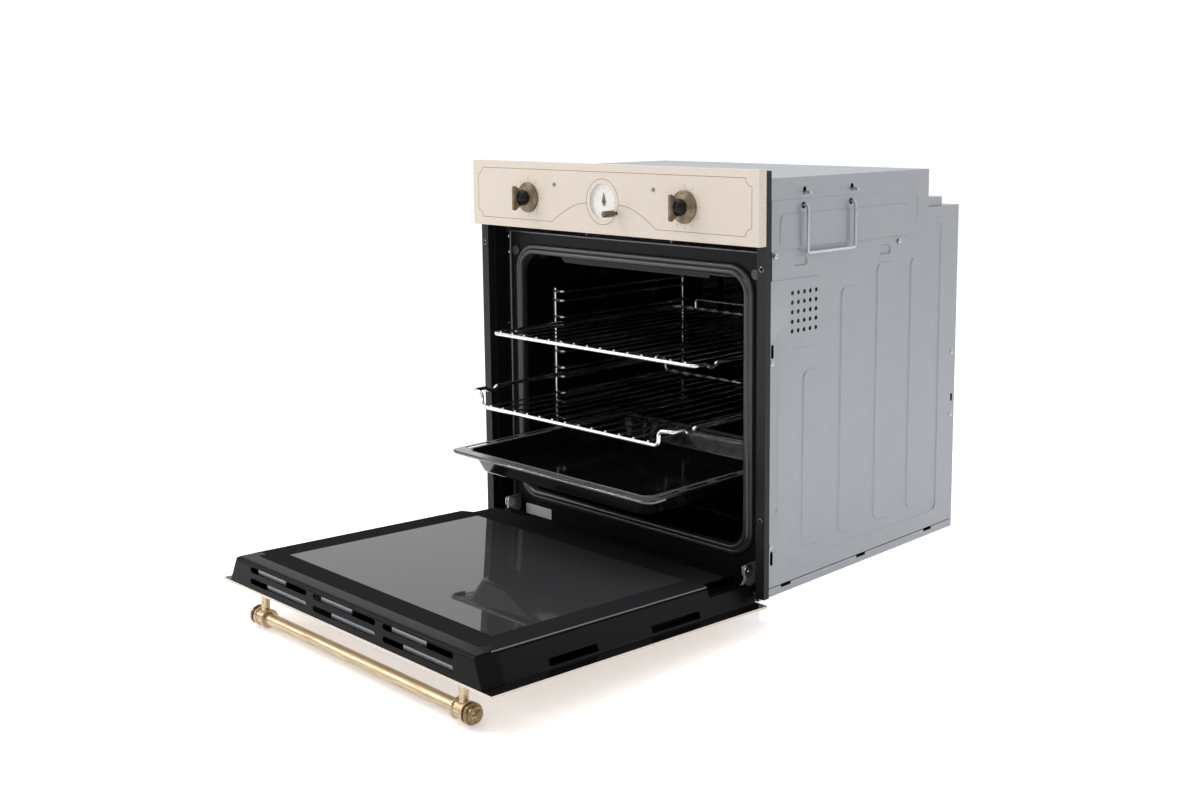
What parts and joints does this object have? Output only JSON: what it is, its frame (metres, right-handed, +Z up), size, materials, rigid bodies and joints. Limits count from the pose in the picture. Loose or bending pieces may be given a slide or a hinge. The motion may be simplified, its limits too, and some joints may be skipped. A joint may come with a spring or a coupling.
{
  "type": "built-in oven",
  "caption": "Built-in electric oven with a drop-down door, retro control panel with a dial timer, wire shelves and a baking tray, in a sheet steel body for a kitchen niche.",
  "frame": {"origin": "middle of the base's underside, at the plane of the cabinet's front edges", "axes": "+X to the right seen from the front, +Y to the back, +Z up"},
  "size_m": [0.595, 0.9817, 0.6339],
  "materials": {
    "galvanised_steel": "plain galvanised sheet",
    "cream_enamel": "satin cream with a fine speckle",
    "black_enamel": "gloss vitreous enamel",
    "black_lacquer": "satin black lacquer",
    "cream_glass": "opaque, coated cream on its back",
    "smoked_glass": "dark border with a grey window",
    "clear_glass": "clear",
    "chromed_wire": "bright chrome",
    "seal_rubber": "matt dark grey silicone",
    "aged_brass": "brushed with a dark patina",
    "aged_bronze": "dark antique bronze",
    "black_plastic": "smooth",
    "white_plastic": "matt white",
    "grey_plastic": "matt grey",
    "mineral_wool": "loose wool in a thin foil",
    "heater_steel": "heat darkened steel",
    "zinc_steel": "zinc plated"
  },
  "bodies": {
    "chassis": {"base_tray": "galvanised_steel", "left_side_panel": "galvanised_steel", "right_side_panel": "galvanised_steel", "back_panel": "galvanised_steel", "top_cover": "galvanised_steel", "air_channel": "galvanised_steel", "blower_housing": "galvanised_steel", "panel_bracket": "galvanised_steel", "hinge_receivers": "galvanised_steel", "terminal_cover": "galvanised_steel", "control_panel": "cream_enamel", "front_frame": "black_enamel", "oven_cavity": "black_enamel", "grill_shield": "black_enamel", "left_side_trim": "black_lacquer", "right_side_trim": "black_lacquer", "lamp_lens": "clear_glass", "lamp_bulb": "clear_glass", "pilot_lenses": "clear_glass", "left_shelf_ladder": "chromed_wire", "right_shelf_ladder": "chromed_wire", "door_seal": "seal_rubber", "cable_gland": "black_plastic", "timer_dial": "white_plastic", "lamp_holder": "white_plastic", "timer_case": "grey_plastic", "function_selector": "grey_plastic", "thermostat": "grey_plastic", "insulation_blanket": "mineral_wool", "grill_element": "heater_steel", "bottom_element": "heater_steel", "thermostat_bulb": "heater_steel", "body_screws": "zinc_steel", "left_hinge_arm": "zinc_steel", "right_hinge_arm": "zinc_steel", "blower_motor": "zinc_steel"},
    "door": {"door_outer_panel": "cream_glass", "door_inner_glass": "smoked_glass", "left_door_stile": "black_lacquer", "right_door_stile": "black_lacquer", "door_top_cap": "black_lacquer", "door_bottom_rail": "black_lacquer", "hinge_channels": "zinc_steel", "hinge_pins": "zinc_steel", "hinge_springs": "zinc_steel", "handle_bar": "aged_brass", "handle_posts": "aged_brass", "handle_finials": "aged_brass"},
    "upper_rack": {"upper_shelf": "chromed_wire"},
    "lower_rack": {"lower_shelf": "chromed_wire"},
    "tray": {"baking_tray": "black_enamel"},
    "selector_knob": {"function_knob": "aged_bronze", "function_knob_cap": "black_plastic"},
    "heat_knob": {"temperature_knob": "aged_bronze", "temperature_knob_cap": "black_plastic"},
    "timer_setter": {"timer_knob": "aged_bronze"},
    "timer_pointer": {"timer_hand": "aged_bronze"},
    "left_bail": {"left_carry_bail": "zinc_steel"},
    "right_bail": {"right_carry_bail": "zinc_steel"},
    "cooling_wheel": {"blower_wheel": "grey_plastic"}
  },
  "joints": [
    {"name": "door_hinge", "type": "hinge", "parent": "chassis", "child": "door", "pos_m": [0, -0.0113, 0.0118], "axis": [-1, 0, 0], "range_deg": [0, 87.2]},
    {"name": "upper_shelf_slide", "type": "slide", "parent": "chassis", "child": "upper_rack", "axis": [0, 1, 0], "range_m": [-0.0005, 0.0875]},
    {"name": "lower_shelf_slide", "type": "slide", "parent": "chassis", "child": "lower_rack", "axis": [0, 1, 0], "range_m": [-0.0005, 0.1325]},
    {"name": "tray_slide", "type": "slide", "parent": "chassis", "child": "tray", "axis": [0, 1, 0], "range_m": [-0.0005, 0.1825]},
    {"name": "function_knob_turn", "type": "hinge", "parent": "chassis", "child": "selector_knob", "pos_m": [-0.164, -0.04, 0.5445], "axis": [0, 1, 0], "continuous": true},
    {"name": "temperature_knob_turn", "type": "hinge", "parent": "chassis", "child": "heat_knob", "pos_m": [0.164, -0.04, 0.5445], "axis": [0, 1, 0], "range_deg": [0, 270]},
    {"name": "timer_knob_turn", "type": "hinge", "parent": "chassis", "child": "timer_setter", "pos_m": [0.029, -0.04, 0.529], "axis": [0, 1, 0], "continuous": true},
    {"name": "timer_hand_turn", "type": "hinge", "parent": "chassis", "child": "timer_pointer", "pos_m": [0, -0.024, 0.5445], "axis": [0, 1, 0], "continuous": true},
    {"name": "left_bail_swing", "type": "hinge", "parent": "chassis", "child": "left_bail", "pos_m": [-0.2785, 0.148, 0.546], "axis": [0, 1, 0], "range_deg": [0, 30]},
    {"name": "right_bail_swing", "type": "hinge", "parent": "chassis", "child": "right_bail", "pos_m": [0.2785, 0.148, 0.546], "axis": [0, -1, 0], "range_deg": [0, 30]},
    {"name": "cooling_wheel_spin", "type": "hinge", "parent": "chassis", "child": "cooling_wheel", "pos_m": [0, 0.29, 0.523], "axis": [1, 0, 0], "continuous": true}
  ],
  "couplings": [
    {"joint": "upper_shelf_slide", "follows": "door_hinge", "m_per_rad": 0.057164},
    {"joint": "lower_shelf_slide", "follows": "door_hinge", "m_per_rad": 0.086732},
    {"joint": "tray_slide", "follows": "door_hinge", "m_per_rad": 0.11958},
    {"joint": "timer_hand_turn", "follows": "timer_knob_turn", "ratio": -0.25}
  ]
}
